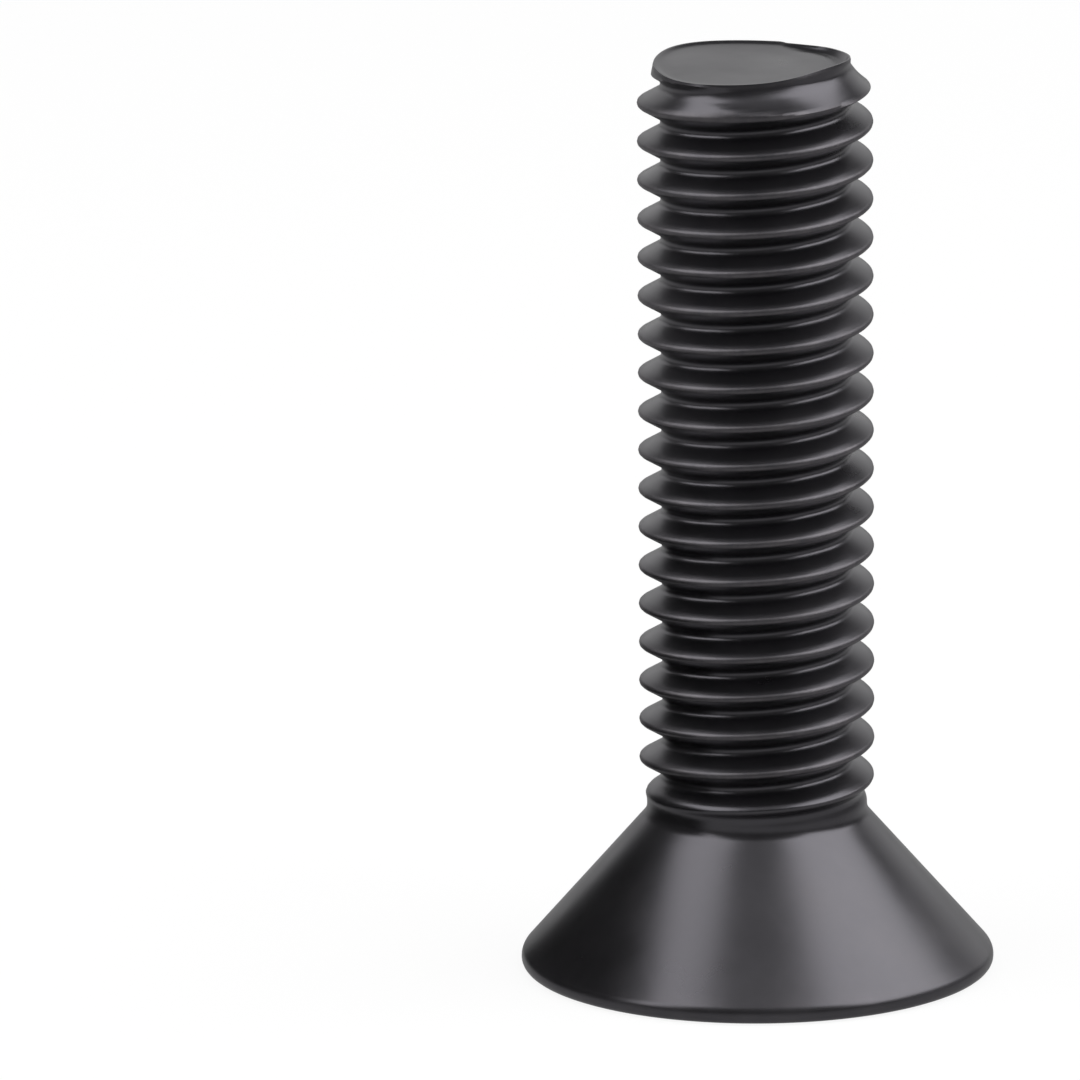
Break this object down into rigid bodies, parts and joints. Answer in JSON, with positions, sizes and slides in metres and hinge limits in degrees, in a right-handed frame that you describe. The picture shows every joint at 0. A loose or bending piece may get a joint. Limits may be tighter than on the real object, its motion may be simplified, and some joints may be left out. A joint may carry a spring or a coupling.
{
  "type": "countersunk socket screw",
  "caption": "Flat-head machine screw with a hexagon socket: countersunk cone, narrow rim, and a right-hand thread that fades out below the head and ends in a blunt point.",
  "frame": {"origin": "centre of the head's flat face, on the screw's axis", "axes": "+Z along the screw's axis from the flat face to the point, which is the way it is driven; +X through a corner of the hexagon socket"},
  "size_m": [0.0094, 0.0094, 0.0187],
  "materials": {
    "black_steel": "black oxide on alloy steel, satin and lightly oiled, worn grey on the rim and the thread's crests"
  },
  "bodies": {
    "root": {"screw": "black_steel"}
  },
  "joints": []
}
